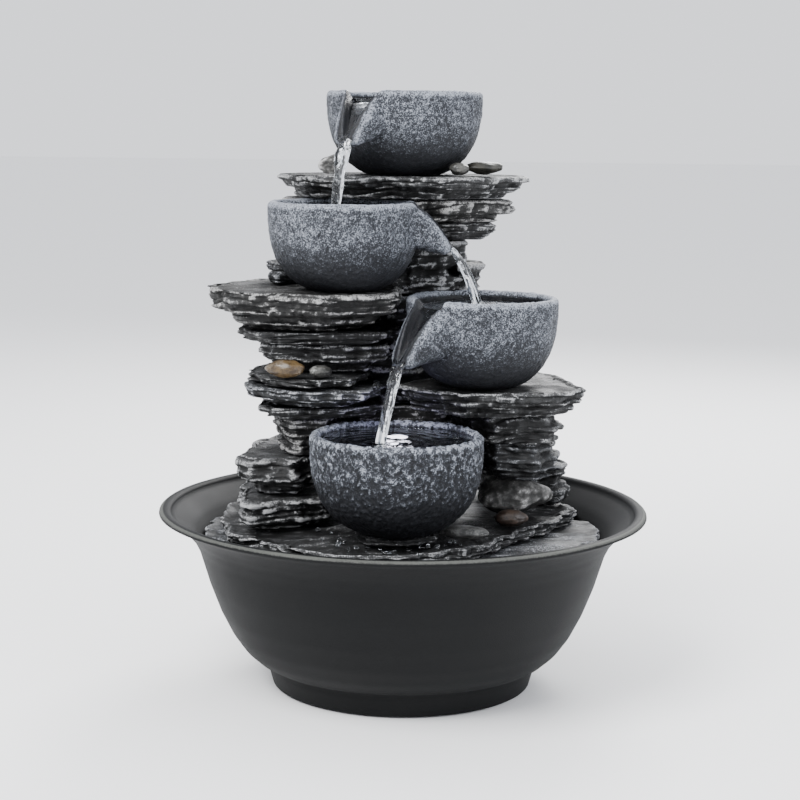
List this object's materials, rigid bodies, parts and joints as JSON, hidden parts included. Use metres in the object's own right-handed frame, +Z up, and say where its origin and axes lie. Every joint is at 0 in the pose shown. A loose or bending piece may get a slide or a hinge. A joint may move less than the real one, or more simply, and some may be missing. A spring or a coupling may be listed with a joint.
{
  "type": "tabletop water fountain",
  "caption": "Round dark basin with a lift-out rockwork of stacked slate slabs that carries cascading bowls with pouring chutes, a lit lowest bowl, and a pump and riser hose inside.",
  "frame": {"origin": "centre of the foot pads' undersides, on the table", "axes": "+Z up through the basin's centre; the front of the fountain, with the lowest bowl, faces -Y; +X is to the right seen from the front"},
  "size_m": [0.23, 0.23, 0.2793],
  "materials": {
    "basin_resin": "matte, fine cast grain",
    "black_rubber": "matte",
    "slate_resin": "split slate look, dry-brushed pale edges",
    "bowl_resin": "granular, pale grey brushed over dark navy grey",
    "boulder_resin": "smooth, damp sheen",
    "pebble_tan": "smooth, satin",
    "pebble_grey": "smooth, satin",
    "clear_hose": "translucent hose",
    "lamp_lens": "clear, cool white light behind it",
    "pump_plastic": "fine moulded grain",
    "shaft_ceramic": "polished",
    "water": "clear water"
  },
  "bodies": {
    "basin": {"basin": "basin_resin", "foot_pad_1": "black_rubber", "foot_pad_2": "black_rubber", "foot_pad_3": "black_rubber", "foot_pad_4": "black_rubber"},
    "rockwork": {"lamp_plug": "black_rubber", "pump_housing": "pump_plastic", "pump_shaft": "shaft_ceramic", "cable_gland": "black_rubber", "suction_cup_1": "black_rubber", "suction_cup_2": "black_rubber", "suction_cup_3": "black_rubber", "suction_cup_4": "black_rubber", "base_plate": "slate_resin", "terrace_slab": "slate_resin", "low_bowl_stone": "slate_resin", "column_stone_1": "slate_resin", "column_stone_2": "slate_resin", "column_stone_3": "slate_resin", "column_stone_4": "slate_resin", "column_stone_5": "slate_resin", "left_slab_1": "slate_resin", "left_slab_2": "slate_resin", "left_slab_3": "slate_resin", "left_slab_4": "slate_resin", "left_slab_5": "slate_resin", "left_slab_6": "slate_resin", "left_slab_7": "slate_resin", "left_slab_8": "slate_resin", "left_slab_9": "slate_resin", "boulder": "boulder_resin", "right_back_slab": "slate_resin", "right_slab_1": "slate_resin", "right_slab_2": "slate_resin", "right_slab_3": "slate_resin", "top_slab_1": "slate_resin", "top_slab_2": "slate_resin", "top_slab_3": "slate_resin", "shoulder_slab": "slate_resin", "back_slab": "slate_resin", "pebble_ledge_tan": "pebble_tan", "pebble_ledge_grey": "pebble_grey", "pebble_terrace_brown": "pebble_tan", "pebble_terrace_flat": "pebble_grey", "pebble_summit_rock": "pebble_grey", "pebble_summit_speckled": "pebble_grey", "pebble_summit_olive": "pebble_grey", "bowl_top": "bowl_resin", "bowl_upper": "bowl_resin", "bowl_middle": "bowl_resin", "bowl_low": "bowl_resin", "riser_tube": "clear_hose", "outlet_nozzle": "pump_plastic", "lamp_housing": "pump_plastic", "lamp_lens": "lamp_lens", "lamp_lead": "black_rubber"},
    "impeller": {"impeller": "pump_plastic"},
    "strainer": {"strainer": "pump_plastic"},
    "flow_slider": {"flow_slider": "pump_plastic"}
  },
  "joints": [
    {"name": "rockwork_lift", "type": "slide", "parent": "basin", "child": "rockwork", "axis": [0, 0, 1], "range_m": [0, 0.1]},
    {"name": "impeller_spin", "type": "hinge", "parent": "rockwork", "child": "impeller", "pos_m": [0, 0.0214, 0.036], "axis": [0, 1, 0], "continuous": true},
    {"name": "strainer_pull", "type": "slide", "parent": "rockwork", "child": "strainer", "axis": [0, -1, 0], "range_m": [0, 0.034]},
    {"name": "flow_adjust", "type": "slide", "parent": "strainer", "child": "flow_slider", "axis": [0, 0, 1], "range_m": [0, 0.008]}
  ]
}
